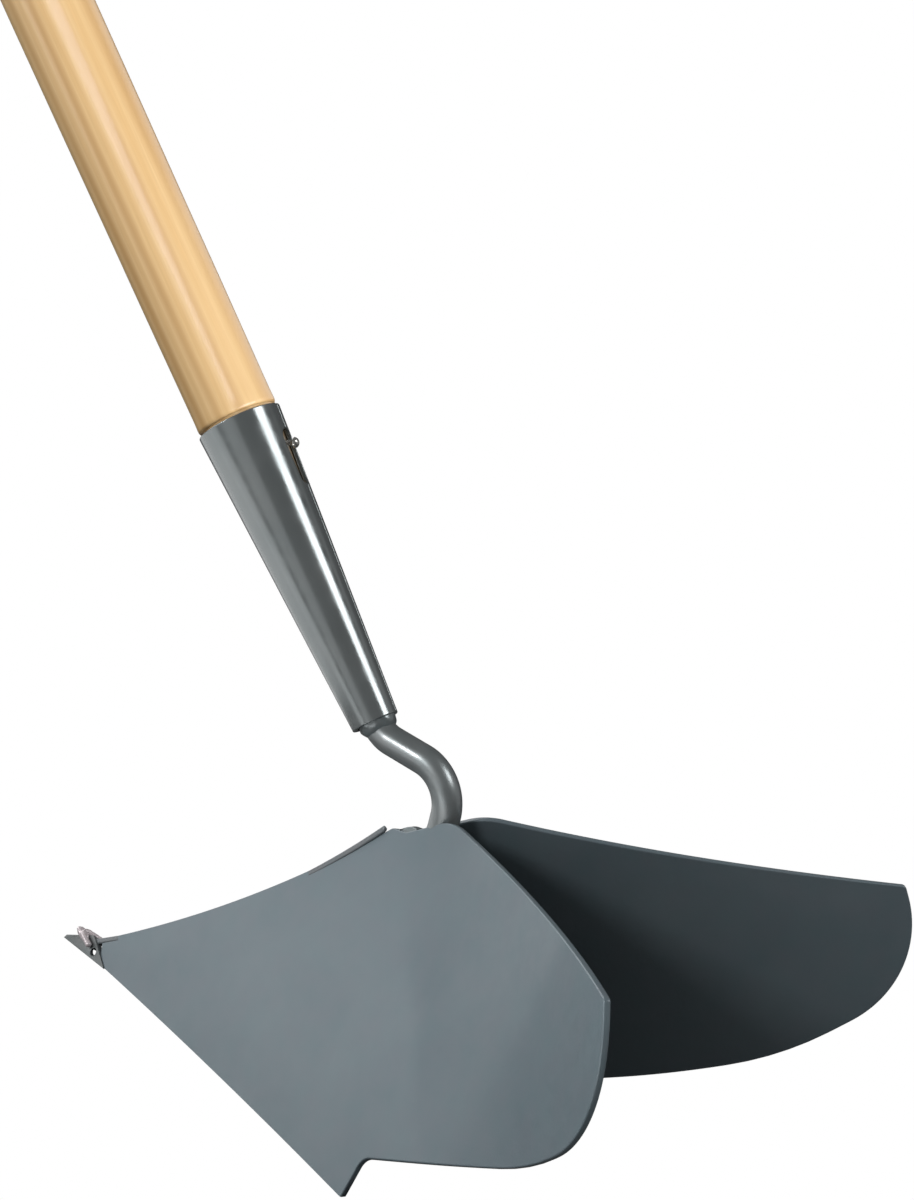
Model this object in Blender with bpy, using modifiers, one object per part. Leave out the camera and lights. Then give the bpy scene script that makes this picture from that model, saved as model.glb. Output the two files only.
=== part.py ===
"""A two-winged hand ridging plough on a long ash handle.

Frame: +Z is up, the ground is z = 0, and the plough's nose points along -X. The plough is
symmetric about its middle plane y = 0, except for the socket's seam and screw. The head is
modelled with the tip of its nose at x = 0, and the whole tool is then moved so that the
origin lies at the middle of its box, on the ground. All lengths are in metres.
"""
import math

import bmesh
import bpy
from mathutils import Matrix, Vector

GAP = 0.0003                      # room left between touching pieces
BIG = 0.4                         # side of the boxes that trim pieces to a plane

# The wing: a flat blank, rolled lightly in front and more strongly towards the rear.
# Blank coordinates: u runs along the cutting edge from the front, v up the blank.
PLATE = 0.0026
SHARE_LENGTH = 0.187
BLANK_HEIGHT = 0.138
TOP_LENGTH = {-1: 0.2991, 1: 0.3057}   # u of the top rear corner; the right wing is longer
NOTCH_HEIGHT = 0.0165
NOTCH_RADIUS = 0.006
SWEEP_CORNER = (0.2725, 0.0594)   # where the lower edge sweeps up
SWEEP_RADIUS = 0.163
TAIL_CORNER = {-1: (0.3193, 0.0982), 1: (0.3220, 0.1028)}   # outside the round tail
TAIL_RADIUS = {-1: 0.0500, 1: 0.0455}
HUMP_START = {-1: 0.1396, 1: 0.1436}   # the right wing's front corner is cut further back
HUMP_RADIUS = 0.025
GRIND_ALLOWANCE = 0.002           # extra blank below the cutting edge, ground off level

FRONT_ROLL_RADIUS = 1.4
REAR_ROLL_RADIUS = 0.257
ROLL_START = 0.1623               # along the roll direction, from the blank's front corner
ROLL_SKEW = math.radians(49)      # roll direction above the cutting edge, in the blank
STRIP = 0.006                     # width of the flat strips that stand for the roll

WING_YAW = math.radians(22.5)     # the wing's normal at the start of the rear roll
WING_LEAN = math.radians(19.5)
WING_TILT = math.radians(50)
WING_FRONT = Vector((0.0229, -0.0049, 0.0005))

# The joint between the nose and the wings: a plane across the plough.
JOINT_FOOT_X = 0.0238
JOINT_LEAN = math.radians(62)
JOINT_GAP_HEIGHT = 0.0024         # centre of the gap that the nose weld leaves at the foot
JOINT_GAP_AHEAD = 0.0012          # and how far it lies in front of the joint
JOINT_GAP_RADIUS = 0.0017

# The nose: a folded point, hollow below.
NOSE_HALF_WIDTH = 0.0063
NOSE_HEIGHT = 0.0114
NOSE_WALL = 0.0013
NOSE_OVERLAP = 0.004              # length of the blank beyond the joint, cut away there

# The shin bead, on a round arc in the middle plane.
SHIN_FOOT = (0.0150, 0.0050)
SHIN_MIDDLE = (0.0845, 0.0556)
SHIN_TOP = (0.1375, 0.1112)
SHIN_RADIUS = 0.0016

# Handle and socket share one axis in the middle plane.
AXIS_SLOPE = math.radians(43.6)
SOCKET_END = (0.1220, 0.1487)     # x, z of the small end's centre
SOCKET_LENGTH = 0.1279
SOCKET_RIM_RADIUS = 0.01685
SOCKET_END_RADIUS = 0.00935
SOCKET_WALL = 0.0018
SOCKET_EDGE = 0.0004              # rounding of both ends
SEAM_WIDTH = 0.0006
SEAM_ANGLE = math.radians(20)     # round the axis, from the top towards the right wing
SLOT_TOP = 0.0106                 # from the rim down the socket
SLOT_LENGTH = 0.0226
SLOT_WIDTH = 0.0100               # at the screw
SLOT_END_WIDTH = 0.0060

HANDLE_LENGTH = 1.4
HANDLE_RADIUS = 0.0170
HANDLE_FOOT_RADIUS = 0.0161        # just above the socket
HANDLE_TAPER = 0.18               # length of the taper between the two
HANDLE_SEAT = 0.085
SEAT_CLEARANCE = 0.0003
BUTT_RADIUS = 0.008
SHOULDER_RISE = 0.0012            # from the socket's rim up to the pole's shoulder
SHOULDER_BEVEL = 0.0016
SEAT_CHAMFER = 0.0010

SCREW_DEPTH = 0.0158              # from the rim down to where the screw leaves the wood
SCREW_SLANT = math.radians(25)    # the head leans towards the socket's small end
SCREW_SHANK_RADIUS = 0.0012
SCREW_HEAD_RADIUS = 0.0022
SCREW_HEAD_HEIGHT = 0.0019
SCREW_INSIDE = 0.0090             # length in the wood
SCREW_STANDOFF = 0.0033           # from the wood to the underside of the head

# The neck, a round bar in the middle plane: x, z and bend radius at each corner.
NECK_RADIUS = 0.0059
NECK_INSIDE = 0.016
NECK_CORNERS = [(0.1267, 0.1452, 0.014), (0.1624, 0.1427, 0.017), (0.1624, 0.1160, 0.016)]
NECK_END = (0.1140, 0.0636)

NOSE_WELD_RADIUS = 0.0013
NOSE_WELD_FOOT = 0.0042           # of the bead's lower ends, from the middle plane
NOSE_WELD_BEND = 0.0020
NOSE_WELD_TOP = (0.0058, 0.0075)  # where its two straight legs would meet

FRONT_WELD_CENTRE = (0.1460, 0, 0.1106)
FRONT_WELD_RADII = (0.0108, 0.0059, 0.0038)
FRONT_WELD_SLOPE = math.radians(35)

NECK_FILLET_RADIUS = 0.0034
NECK_FILLET_TOP = (0.1585, 0.0072, 0.1085)      # on the right; the left one is its mirror
NECK_FILLET_FOOT = (0.1225, 0.0072, 0.0695)

SOCKET_WELD_RADIUS = 0.0088
SOCKET_WELD_REACH = 0.0062
SOCKET_WELD_RISE = 0.0008         # off the axis, towards the top


def clear_scene():
    for thing in list(bpy.data.objects):
        bpy.data.objects.remove(thing, do_unlink=True)


def new_collection(name):
    group = bpy.data.collections.new(name)
    bpy.context.scene.collection.children.link(group)
    return group


clear_scene()
PARTS = new_collection("hand_ridging_plough")
CUTTERS = new_collection("cutters")


def painted(name, colour, roughness, metallic):
    made = bpy.data.materials.new(name)
    made.use_nodes = True
    shader = made.node_tree.nodes["Principled BSDF"]
    shader.inputs["Base Color"].default_value = (*colour, 1)
    shader.inputs["Roughness"].default_value = roughness
    shader.inputs["Metallic"].default_value = metallic
    return made


def as_part(thing, name, colour, roughness=0.4, metallic=0.0):
    """Name a finished object, give it its own material and put it with the parts."""
    thing.name = name
    thing.data.name = name
    for group in list(thing.users_collection):
        group.objects.unlink(thing)
    PARTS.objects.link(thing)
    thing.data.materials.clear()
    thing.data.materials.append(painted(name, colour, roughness, metallic))
    thing.data.shade_smooth()
    thing.data.set_sharp_from_angle(angle=math.radians(30))
    return thing


def as_cutter(thing, name):
    thing.name = name
    for group in list(thing.users_collection):
        group.objects.unlink(thing)
    CUTTERS.objects.link(thing)
    thing.hide_render = True
    thing.display_type = "WIRE"
    return thing


def object_from(bm, name):
    mesh = bpy.data.meshes.new(name)
    bm.to_mesh(mesh)
    bm.free()
    thing = bpy.data.objects.new(name, mesh)
    bpy.context.scene.collection.objects.link(thing)
    return thing


def evaluated(source, name):
    """A plain mesh object with the source's curve or modifiers worked in; the source goes."""
    bpy.context.view_layer.update()
    graph = bpy.context.evaluated_depsgraph_get()
    mesh = bpy.data.meshes.new_from_object(source.evaluated_get(graph), depsgraph=graph)
    bm = bmesh.new()
    bm.from_mesh(mesh)
    bmesh.ops.remove_doubles(bm, verts=bm.verts, dist=1e-6)
    bm.to_mesh(mesh)
    bm.free()
    thing = bpy.data.objects.new(name, mesh)
    thing.matrix_world = source.matrix_world.copy()
    bpy.context.scene.collection.objects.link(thing)
    bpy.data.objects.remove(source, do_unlink=True)
    return thing


def boolean(target, other, operation="DIFFERENCE"):
    step = target.modifiers.new(operation.lower() + "_" + other.name, "BOOLEAN")
    step.operation = operation
    step.object = other
    step.solver = "EXACT"
    return target


def box_cutter(name, low, high):
    bpy.ops.mesh.primitive_cube_add(size=1)
    thing = bpy.context.object
    thing.location = [(a + b) / 2 for a, b in zip(low, high)]
    thing.scale = [b - a for a, b in zip(low, high)]
    return as_cutter(thing, name)


def arc(centre, first, last, count):
    """Points along the shorter arc about this centre, both ends among them."""
    start, end = first - centre, last - centre
    return [centre + start.slerp(end, i / count) * start.length for i in range(count + 1)]


def arc_points(before, corner, after, radius, step=math.radians(9)):
    """The round corner of this radius between two straight runs, as points."""
    back = (before - corner).normalized()
    ahead = (after - corner).normalized()
    turn = math.pi - back.angle(ahead)
    if radius == 0 or turn < 1e-4:
        return [corner.copy()]
    tangent = radius * math.tan(turn / 2)
    middle = (back + ahead).normalized()
    centre = corner + middle * (radius / math.cos(turn / 2))
    first = corner + back * tangent
    last = corner + ahead * tangent
    return arc(centre, first, last, max(2, round(turn / step)))


def rounded(corners, closed):
    """Points of a path whose corners are (position, radius)."""
    count = len(corners)
    points = []
    for i, (corner, radius) in enumerate(corners):
        if not closed and i in (0, count - 1):
            points.append(corner.copy())
            continue
        before = corners[i - 1][0]
        after = corners[(i + 1) % count][0]
        points.extend(arc_points(before, corner, after, radius))
    return points


def curve_object(name, points, closed=False, flat=False):
    data = bpy.data.curves.new(name, "CURVE")
    data.dimensions = "2D" if flat else "3D"
    spline = data.splines.new("POLY")
    spline.points.add(len(points) - 1)
    for knot, point in zip(spline.points, points):
        knot.co = (*point, 1)
    spline.use_cyclic_u = closed
    thing = bpy.data.objects.new(name, data)
    bpy.context.scene.collection.objects.link(thing)
    return thing


def tube(name, points, radius, resolution=6):
    rod = curve_object(name, points)
    rod.data.bevel_depth = radius
    rod.data.bevel_resolution = resolution
    rod.data.use_fill_caps = True
    return evaluated(rod, name)


def turned(name, profile, steps=48):
    """A solid of revolution about its own Z from a closed (radius, height) outline."""
    bm = bmesh.new()
    ring = [bm.verts.new((radius, 0, height)) for radius, height in profile]
    for first, second in zip(ring, ring[1:]):
        bm.edges.new((first, second))
    thing = object_from(bm, name)
    screw = thing.modifiers.new("turn", "SCREW")
    screw.steps = steps
    screw.render_steps = steps
    screw.use_merge_vertices = True
    screw.merge_threshold = 0.00001
    return evaluated(thing, name)


# The axis frame: local Z runs up the handle, local X points to the top of the socket.
AXIS_UP = Vector((-math.cos(AXIS_SLOPE), 0, math.sin(AXIS_SLOPE)))
AXIS_TOP = Vector((math.sin(AXIS_SLOPE), 0, math.cos(AXIS_SLOPE)))
AXIS_SIDE = AXIS_UP.cross(AXIS_TOP)
SEAM_SIDE = 1 if AXIS_SIDE.y > 0 else -1    # the turn about the axis that leads to the right


def axis_frame(height):
    """The frame on the handle's axis at this height above the socket's small end."""
    foot = Vector((SOCKET_END[0], 0, SOCKET_END[1])) + AXIS_UP * height
    turn = Matrix((AXIS_TOP, AXIS_SIDE, AXIS_UP)).transposed().to_4x4()
    return Matrix.Translation(foot) @ turn


def seam_frame(height):
    """The axis frame turned so that local X points out through the socket's seam."""
    return axis_frame(height) @ Matrix.Rotation(SEAM_SIDE * SEAM_ANGLE, 4, "Z")


def wing_axes():
    """Columns: the roll direction, the bend lines' direction and the outward normal."""
    normal = Vector((
        -math.sin(WING_YAW) * math.cos(WING_LEAN),
        -math.cos(WING_YAW) * math.cos(WING_LEAN),
        math.sin(WING_LEAN)))
    level = normal.cross(Vector((0, 0, 1))).normalized()
    if level.x < 0:
        level = -level
    slope = level.cross(normal)
    if slope.z < 0:
        slope = -slope
    roll = level * math.cos(WING_TILT) + slope * math.sin(WING_TILT)
    bend = slope * math.cos(WING_TILT) - level * math.sin(WING_TILT)
    return Matrix((roll, bend, normal)).transposed()


WING_AXES = wing_axes()


def rolled(s, q, w):
    """Where the roll takes a point of the blank: s along the roll, w out from the face."""
    radius = REAR_ROLL_RADIUS if s > ROLL_START else FRONT_ROLL_RADIUS
    turn = (s - ROLL_START) / radius
    along = ROLL_START + (radius - w) * math.sin(turn)
    out = radius - (radius - w) * math.cos(turn)
    return Vector((along, q, out))


def on_wing(point, side):
    """A blank point in the head's frame; side is -1 for the left wing and 1 for the right."""
    placed = WING_FRONT + WING_AXES @ (rolled(*point) - rolled(0, 0, 0))
    return Vector((placed.x, -side * placed.y, placed.z))


def blank_corners(side):
    """The blank's corners from the front foot round by the rear: (u, v) and radius.

    The two blanks are cut by hand and differ at the front corner and the tail. The edge
    along the shin lies past the middle plane, where both wings are trimmed.
    """
    shape = [
        (0.002, -GRIND_ALLOWANCE, 0),
        (SHARE_LENGTH, -GRIND_ALLOWANCE, 0),
        (SHARE_LENGTH - 0.0005, NOTCH_HEIGHT, NOTCH_RADIUS),
        (*SWEEP_CORNER, SWEEP_RADIUS),
        (*TAIL_CORNER[side], TAIL_RADIUS[side]),
        (TOP_LENGTH[side], BLANK_HEIGHT, 0.002),
        (HUMP_START[side], BLANK_HEIGHT, HUMP_RADIUS),
        (0.1174, 0.1223, 0.003),
        (0.0930, 0.1165, 0),
        (0.0450, 0.0720, 0),
        (-0.0140, 0.0180, 0)]
    return [(Vector((u, v)), radius) for u, v, radius in shape]


def grown(corners, amount):
    """The same outline with every straight edge moved out by this amount."""
    count = len(corners)
    moved = []
    for i, (corner, radius) in enumerate(corners):
        first = (corner - corners[i - 1][0]).normalized()
        second = (corners[(i + 1) % count][0] - corner).normalized()
        outward = Vector((first.y + second.y, -first.x - second.x)).normalized()
        reach = amount / outward.dot(Vector((first.y, -first.x)))
        moved.append((corner + outward * reach, radius))
    return moved


def rolled_plate(name, corners, side, inner, outer):
    """A plate between two depths of the rolled blank, cut to the given outline."""
    points = rounded(corners, closed=True)
    cos, sin = math.cos(ROLL_SKEW), math.sin(ROLL_SKEW)
    turned_points = [Vector((u * cos + v * sin, v * cos - u * sin, 0)) for u, v in points]
    outline = curve_object(name + "_outline", turned_points, closed=True, flat=True)
    outline.data.fill_mode = "BOTH"
    outline.data.extrude = 0.05
    prism = evaluated(outline, name + "_prism")

    low_s = min(p.x for p in turned_points) - STRIP
    high_s = max(p.x for p in turned_points) + STRIP
    low_q = min(p.y for p in turned_points) - STRIP
    high_q = max(p.y for p in turned_points) + STRIP
    strips = round((high_s - low_s) / STRIP)
    bm = bmesh.new()
    bmesh.ops.create_grid(bm, x_segments=strips, y_segments=1, size=0.5)
    for vert in bm.verts:
        vert.co.x = low_s + (vert.co.x + 0.5) * (high_s - low_s)
        vert.co.y = low_q + (vert.co.y + 0.5) * (high_q - low_q)
        vert.co.z = outer
    sheet = object_from(bm, name + "_sheet")
    depth = sheet.modifiers.new("thickness", "SOLIDIFY")
    depth.thickness = outer - inner
    depth.offset = -1
    boolean(sheet, prism, "INTERSECT")
    plate = evaluated(sheet, name)
    bpy.data.objects.remove(prism, do_unlink=True)
    for vert in plate.data.vertices:
        vert.co = on_wing(vert.co, side)
    if side > 0:
        plate.data.flip_normals()
    return plate


def joint_cutter(name, low, high):
    """A box between two distances behind the leaning plane where the nose meets the wings."""
    thing = box_cutter(name, (-BIG / 2,) * 3, (BIG / 2,) * 3)
    lean = Matrix.Rotation(-JOINT_LEAN, 4, "Y")
    shift = Matrix.Translation(((low + high) / 2, 0, 0))
    foot = Matrix.Translation((JOINT_FOOT_X, 0, 0))
    thing.matrix_world = foot @ lean @ shift @ Matrix.Diagonal((BIG, BIG, BIG, 1))
    return thing


def circle_through(first, middle, last, count=24):
    """Points of the arc through three points of the middle plane."""
    a, b, c = (Vector(p) for p in (first, middle, last))
    ab, bc = b - a, c - b
    half_ab, half_bc = (a + b) / 2, (b + c) / 2
    across = ab.x * bc.y - ab.y * bc.x
    reach = (half_bc - half_ab).dot(bc) / across
    centre = half_ab + Vector((-ab.y, ab.x)) * reach
    return arc(centre, a, c, count)


def shin_path():
    return [Vector((x, 0, z)) for x, z in circle_through(SHIN_FOOT, SHIN_MIDDLE, SHIN_TOP)]


def neck_path():
    start = Vector((SOCKET_END[0], 0, SOCKET_END[1])) + AXIS_UP * NECK_INSIDE
    corners = [(start, 0)]
    corners += [(Vector((x, 0, z)), radius) for x, z, radius in NECK_CORNERS]
    corners.append((Vector((NECK_END[0], 0, NECK_END[1])), 0))
    return rounded(corners, closed=False)


def joint_point(height, side=0, out=0.0):
    """A point of the joint plane, on the middle line or at the wing's outer face."""
    x = JOINT_FOOT_X - height * math.tan(JOINT_LEAN)
    return Vector((x, side * out, height))


def nose_weld_path():
    top = Vector((NOSE_WELD_TOP[0], 0, NOSE_WELD_TOP[1]))
    foot_height = JOINT_GAP_HEIGHT + JOINT_GAP_RADIUS
    right = joint_point(foot_height, 1, NOSE_WELD_FOOT)
    left = joint_point(foot_height, -1, NOSE_WELD_FOOT)
    return rounded([(left, 0), (top, NOSE_WELD_BEND), (right, 0)], closed=False)


def make_joint_gap():
    """A round hole across both walls, where the nose weld stops short of the ground."""
    centre = joint_point(JOINT_GAP_HEIGHT) - Vector((JOINT_GAP_AHEAD, 0, 0))
    reach = Vector((0, 2 * NOSE_HALF_WIDTH, 0))
    return as_cutter(tube("joint_gap", [centre - reach, centre + reach], JOINT_GAP_RADIUS), "joint_gap")


def make_trimmers():
    """Boxes that trim pieces to the ground, the middle plane and the nose joint."""
    cutters = {
        "ground": box_cutter("ground_trim", (-BIG, -BIG, -BIG), (BIG, BIG, 0)),
        "left": box_cutter("left_wing_trim", (-BIG, -GAP / 2, -BIG), (BIG, BIG, BIG)),
        "right": box_cutter("right_wing_trim", (-BIG, -BIG, -BIG), (BIG, GAP / 2, BIG)),
        "front": joint_cutter("front_trim", -BIG, 0),
        "rear": joint_cutter("rear_trim", -GAP, BIG - GAP),
        "joint_gap": make_joint_gap(),
        "shin": as_cutter(tube("shin_groove", shin_path(), SHIN_RADIUS + GAP), "shin_groove"),
        "nose_weld": as_cutter(
            tube("nose_weld_groove", nose_weld_path(), NOSE_WELD_RADIUS + GAP), "nose_weld_groove"),
        "neck": as_cutter(tube("neck_seat", neck_path(), NECK_RADIUS + GAP, 8), "neck_seat"),
    }
    for name, side in (("left_space", -1), ("right_space", 1)):
        space = rolled_plate(name, grown(blank_corners(side), GAP), side, -PLATE - GAP, 0.012)
        cutters[name] = as_cutter(space, name)
    return cutters


def make_wing(name, side, cutters):
    wing = rolled_plate(name, blank_corners(side), side, -PLATE, 0)
    trims = ["left" if side < 0 else "right", "ground", "front", "shin", "nose_weld", "joint_gap"]
    for trim in trims:
        boolean(wing, cutters[trim])
    return as_part(wing, name, (0.20, 0.24, 0.26), 0.35, 0.3)


def make_shin_weld(cutters):
    bead = tube("shin_weld", shin_path(), SHIN_RADIUS)
    boolean(bead, cutters["front"])
    boolean(bead, cutters["nose_weld"])
    return as_part(bead, "shin_weld", (0.19, 0.22, 0.24), 0.4, 0.3)


def wedge(name, tip, back_x, half_width, height, foot):
    """A keel-shaped wedge from its tip back to a triangle across the plough."""
    blunt = 0.0007
    bm = bmesh.new()
    for x, y, z in (
            (tip, -blunt, foot), (tip, blunt, foot), (tip + blunt, 0, foot + 2 * blunt),
            (back_x, -half_width, foot), (back_x, half_width, foot), (back_x, 0, height)):
        bm.verts.new((x, y, z))
    bmesh.ops.convex_hull(bm, input=bm.verts)
    return object_from(bm, name)


def make_nose(cutters):
    """The folded point, which carries on the lines of the wings and is hollow below."""
    back_x = JOINT_FOOT_X + NOSE_OVERLAP
    half_width = NOSE_HALF_WIDTH * back_x / JOINT_FOOT_X
    height = NOSE_HEIGHT * back_x / JOINT_FOOT_X
    nose = wedge("nose_point", 0, back_x, half_width, height, 0)
    hollow = wedge("nose_hollow", 3 * NOSE_WALL, back_x + GAP,
                   half_width - NOSE_WALL, height - 2 * NOSE_WALL, -NOSE_WALL)
    boolean(nose, as_cutter(hollow, "nose_hollow"))
    for trim in ("rear", "nose_weld", "joint_gap"):
        boolean(nose, cutters[trim])
    return as_part(nose, "nose_point", (0.17, 0.19, 0.19), 0.45, 0.4)


def make_nose_weld(cutters):
    """The bead over the joint, from one wing across the ridge to the other."""
    bead = tube("nose_weld", nose_weld_path(), NOSE_WELD_RADIUS)
    boolean(bead, cutters["joint_gap"])
    return as_part(bead, "nose_weld", (0.45, 0.42, 0.42), 0.4, 0.4)


def make_neck(cutters):
    """The neck: its lower end is ground to the V between the wings."""
    neck = tube("neck", neck_path(), NECK_RADIUS, 8)
    boolean(neck, cutters["left_space"])
    boolean(neck, cutters["right_space"])
    return as_part(neck, "neck", (0.20, 0.23, 0.23), 0.35, 0.4)


def ellipsoid(name, centre, radii, turn):
    bm = bmesh.new()
    bmesh.ops.create_uvsphere(bm, u_segments=20, v_segments=12, radius=1)
    thing = object_from(bm, name)
    scale = Matrix.Diagonal((*radii, 1))
    thing.data.transform(Matrix.Translation(centre) @ turn.to_4x4() @ scale)
    return thing


def make_front_weld(cutters):
    """The bead that fills the V in front of the neck, at the top of the shin."""
    lie = Matrix.Rotation(-FRONT_WELD_SLOPE, 4, "Y")
    bead = ellipsoid("neck_weld_front", Vector(FRONT_WELD_CENTRE), FRONT_WELD_RADII, lie)
    for name in ("left_space", "right_space", "neck", "shin"):
        boolean(bead, cutters[name])
    return as_part(bead, "neck_weld_front", (0.24, 0.27, 0.27), 0.4, 0.4)


def make_fillet(name, side, cutters):
    """The fillet between the back of the neck's ground end and one wing."""
    mirror = Matrix.Diagonal((1, side, 1))
    start = mirror @ Vector(NECK_FILLET_TOP)
    end = mirror @ Vector(NECK_FILLET_FOOT)
    bead = tube(name, [start.lerp(end, i / 8) for i in range(9)], NECK_FILLET_RADIUS)
    space = "left_space" if side < 0 else "right_space"
    boolean(bead, cutters[space])
    boolean(bead, cutters["neck"])
    return as_part(bead, name, (0.22, 0.24, 0.24), 0.5, 0.3)


def socket_outline():
    """The socket's wall, from the outer rim down, round the end and back up the bore."""
    wall, edge = SOCKET_WALL, SOCKET_EDGE
    return [
        (SOCKET_RIM_RADIUS, SOCKET_LENGTH),
        (SOCKET_END_RADIUS, edge * 3),
        (SOCKET_END_RADIUS - edge, edge),
        (SOCKET_END_RADIUS - wall / 2, 0),
        (SOCKET_END_RADIUS - wall, edge),
        (SOCKET_RIM_RADIUS - wall, SOCKET_LENGTH),
        (SOCKET_RIM_RADIUS - wall + edge, SOCKET_LENGTH + edge),
        (SOCKET_RIM_RADIUS - edge, SOCKET_LENGTH + edge),
        (SOCKET_RIM_RADIUS, SOCKET_LENGTH)]


def make_slot_cutter():
    """A tapering slot through one wall, wide at the screw and narrow at its lower end."""
    wide, narrow = SLOT_WIDTH / 2, SLOT_END_WIDTH / 2
    top = SOCKET_LENGTH - SLOT_TOP
    corners = [
        (Vector((top, -wide)), wide * 0.9),
        (Vector((top, wide)), wide * 0.9),
        (Vector((top - SLOT_LENGTH, narrow)), narrow * 0.9),
        (Vector((top - SLOT_LENGTH, -narrow)), narrow * 0.9)]
    points = [Vector((p.x, p.y, 0)) for p in rounded(corners, closed=True)]
    outline = curve_object("slot_outline", points, closed=True, flat=True)
    outline.data.fill_mode = "BOTH"
    outline.data.extrude = SOCKET_RIM_RADIUS / 2
    slot = evaluated(outline, "socket_slot")
    outward = Matrix(((0, 0, 1), (0, -1, 0), (1, 0, 0))).to_4x4()
    slot.data.transform(outward)
    slot.matrix_world = seam_frame(0) @ Matrix.Translation((SOCKET_RIM_RADIUS, 0, 0))
    return as_cutter(slot, "socket_slot")


def make_seam_cutter():
    seam = box_cutter("socket_seam", (0, 0, 0), (1, 1, 1))
    size = Matrix.Diagonal((0.03, SEAM_WIDTH, 2 * SOCKET_LENGTH + 0.02, 1))
    seam.matrix_world = seam_frame(0) @ Matrix.Translation((0.015, 0, 0)) @ size
    return seam


def make_socket():
    socket = turned("socket", socket_outline())
    socket.matrix_world = axis_frame(0)
    boolean(socket, make_seam_cutter())
    boolean(socket, make_slot_cutter())
    return as_part(socket, "socket", (0.18, 0.20, 0.20), 0.3, 0.4)


def bore_radius(height):
    rise = (SOCKET_RIM_RADIUS - SOCKET_END_RADIUS) / SOCKET_LENGTH
    return SOCKET_END_RADIUS + rise * height - SOCKET_WALL


def handle_outline():
    """The pole from the butt down to the foot of its tapered seat."""
    seat_foot = SOCKET_LENGTH - HANDLE_SEAT
    top = seat_foot + HANDLE_LENGTH
    shoulder = SOCKET_LENGTH + SHOULDER_RISE
    outline = [(0, top)]
    for i in range(7):
        angle = math.radians(90 - 15 * i)
        radius = HANDLE_RADIUS - BUTT_RADIUS * (1 - math.cos(angle))
        outline.append((radius, top - BUTT_RADIUS * (1 - math.sin(angle))))
    seat_top = bore_radius(SOCKET_LENGTH) - SEAT_CLEARANCE
    seat_end = bore_radius(seat_foot) - SEAT_CLEARANCE
    outline += [
        (HANDLE_RADIUS, shoulder + HANDLE_TAPER),
        (HANDLE_FOOT_RADIUS, shoulder + SHOULDER_BEVEL),
        (seat_top, shoulder),
        (seat_top, SOCKET_LENGTH),
        (seat_end, seat_foot + SEAT_CHAMFER),
        (seat_end - SEAT_CHAMFER, seat_foot),
        (0, seat_foot)]
    return outline


def screw_frame():
    """Local Z points out of the wood along the screw, with its foot on the wood's surface."""
    height = SOCKET_LENGTH - SCREW_DEPTH
    foot = Matrix.Translation((bore_radius(height) - SEAT_CLEARANCE, 0, 0))
    lean = Matrix.Rotation(math.radians(90) + SCREW_SLANT, 4, "Y")
    return seam_frame(height) @ foot @ lean


def make_handle():
    handle = turned("handle", handle_outline())
    handle.matrix_world = axis_frame(0)
    pilot = turned("screw_hole", [
        (0, HANDLE_RADIUS), (SCREW_SHANK_RADIUS + GAP, HANDLE_RADIUS),
        (SCREW_SHANK_RADIUS + GAP, -SCREW_INSIDE - GAP), (0, -SCREW_INSIDE - GAP)], 20)
    pilot.matrix_world = screw_frame()
    boolean(handle, as_cutter(pilot, "screw_hole"))
    return as_part(handle, "handle", (0.72, 0.50, 0.27), 0.3)


def make_screw():
    """The round-head screw: head on top, shank down, with a blunt point."""
    outline = [(0, SCREW_STANDOFF + SCREW_HEAD_HEIGHT)]
    for i in range(1, 6):
        angle = math.radians(90 - 18 * i)
        outline.append((
            SCREW_HEAD_RADIUS * math.cos(angle),
            SCREW_STANDOFF + SCREW_HEAD_HEIGHT * math.sin(angle)))
    outline += [
        (SCREW_SHANK_RADIUS, SCREW_STANDOFF),
        (SCREW_SHANK_RADIUS, SCREW_SHANK_RADIUS - SCREW_INSIDE),
        (0, -SCREW_INSIDE)]
    screw = turned("handle_screw", outline, 24)
    screw.matrix_world = screw_frame()
    return as_part(screw, "handle_screw", (0.75, 0.75, 0.72), 0.25, 0.9)


def make_socket_weld(cutters):
    """The collar of weld between the socket's small end and the neck."""
    turn = Matrix((AXIS_TOP, AXIS_SIDE, AXIS_UP)).transposed()
    centre = Vector((SOCKET_END[0], 0, SOCKET_END[1])) + AXIS_TOP * SOCKET_WELD_RISE
    radii = (SOCKET_WELD_RADIUS, SOCKET_WELD_RADIUS, SOCKET_WELD_REACH)
    bead = ellipsoid("socket_weld", centre, radii, turn)
    above = box_cutter("weld_trim", (-BIG / 2,) * 3, (BIG / 2,) * 3)
    lift = Matrix.Translation((0, 0, BIG / 2 - GAP))
    above.matrix_world = axis_frame(0) @ lift @ Matrix.Diagonal((BIG, BIG, BIG, 1))
    boolean(bead, above)
    boolean(bead, cutters["neck"])
    return as_part(bead, "socket_weld", (0.22, 0.28, 0.28), 0.45, 0.4)


def mesh_box():
    graph = bpy.context.evaluated_depsgraph_get()
    low = Vector((1e9,) * 3)
    high = Vector((-1e9,) * 3)
    for part in PARTS.objects:
        mesh = part.evaluated_get(graph).data
        for vert in mesh.vertices:
            place = part.matrix_world @ vert.co
            low = Vector([min(a, b) for a, b in zip(low, place)])
            high = Vector([max(a, b) for a, b in zip(high, place)])
    return low, high


def move_to_origin():
    """Hang everything from one empty that stands the tool on the ground, centred."""
    bpy.context.view_layer.update()
    low, high = mesh_box()
    root = bpy.data.objects.new("plough_root", None)
    bpy.context.scene.collection.objects.link(root)
    for thing in list(PARTS.objects) + list(CUTTERS.objects):
        thing.parent = root
    root.location = (-(low.x + high.x) / 2, 0, 0)


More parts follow.
